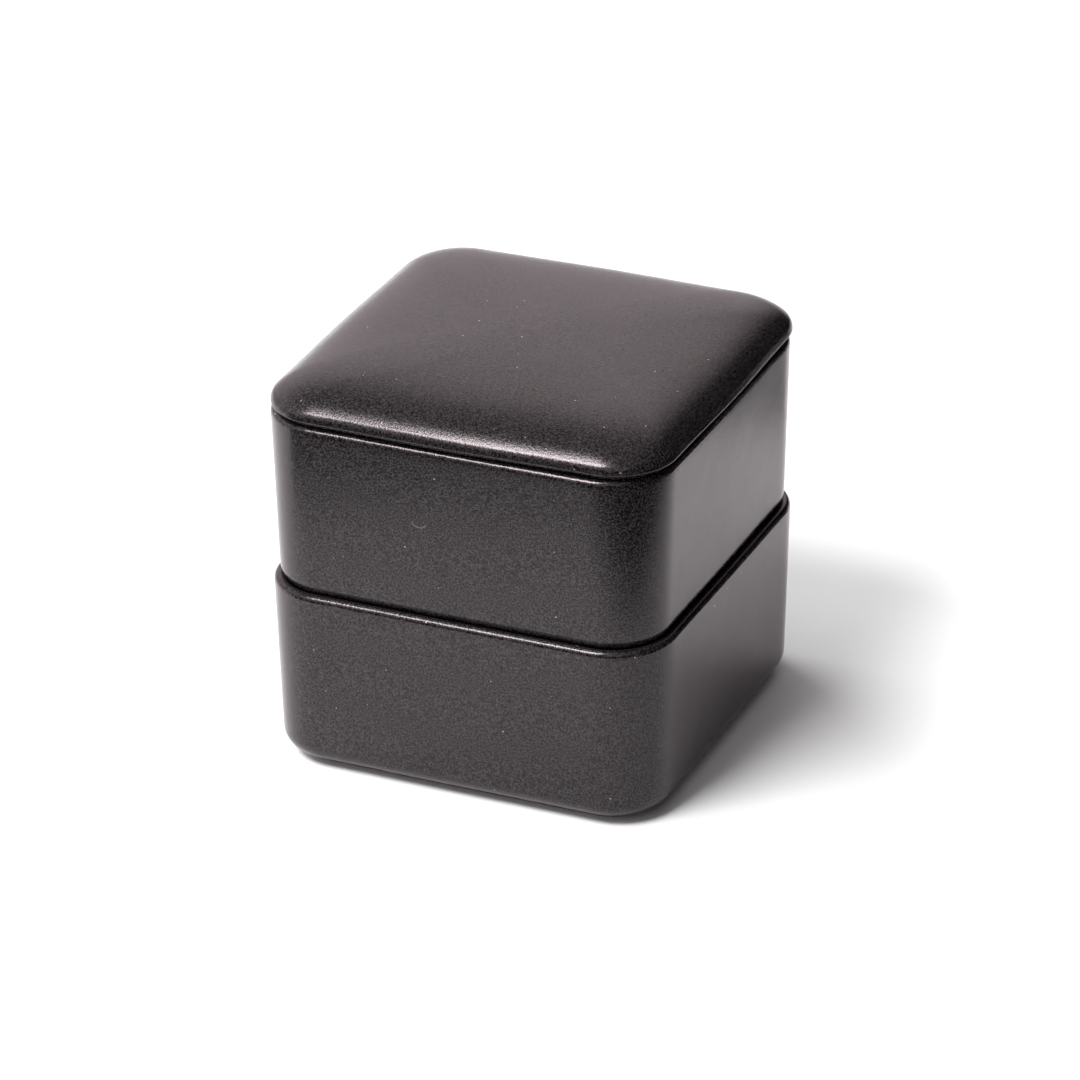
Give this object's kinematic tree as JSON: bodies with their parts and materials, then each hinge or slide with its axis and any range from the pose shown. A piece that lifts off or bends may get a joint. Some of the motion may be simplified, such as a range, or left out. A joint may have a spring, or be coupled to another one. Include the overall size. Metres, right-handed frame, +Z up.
{
  "type": "stacking sugar bowl",
  "caption": "Square stoneware sugar bowl with a matching second tier nested under it and a softly domed lid that lifts off, for keeping and serving sugar.",
  "frame": {"origin": "centre of the lower bowl's foot ring, on the table", "axes": "+Z up through the stack, +X and +Y square to the sides, which are all alike"},
  "size_m": [0.0904, 0.0904, 0.0896],
  "materials": {
    "black_glaze": "satin black stoneware glaze with a fine grain"
  },
  "bodies": {
    "lower_bowl": {"lower_bowl": "black_glaze"},
    "upper_bowl": {"upper_bowl": "black_glaze"},
    "lid": {"lid": "black_glaze"}
  },
  "joints": [
    {"name": "upper_bowl_lift", "type": "slide", "parent": "lower_bowl", "child": "upper_bowl", "axis": [0, 0, 1], "range_m": [0, 0.06]},
    {"name": "lid_lift", "type": "slide", "parent": "upper_bowl", "child": "lid", "axis": [0, 0, 1], "range_m": [0, 0.06]}
  ]
}
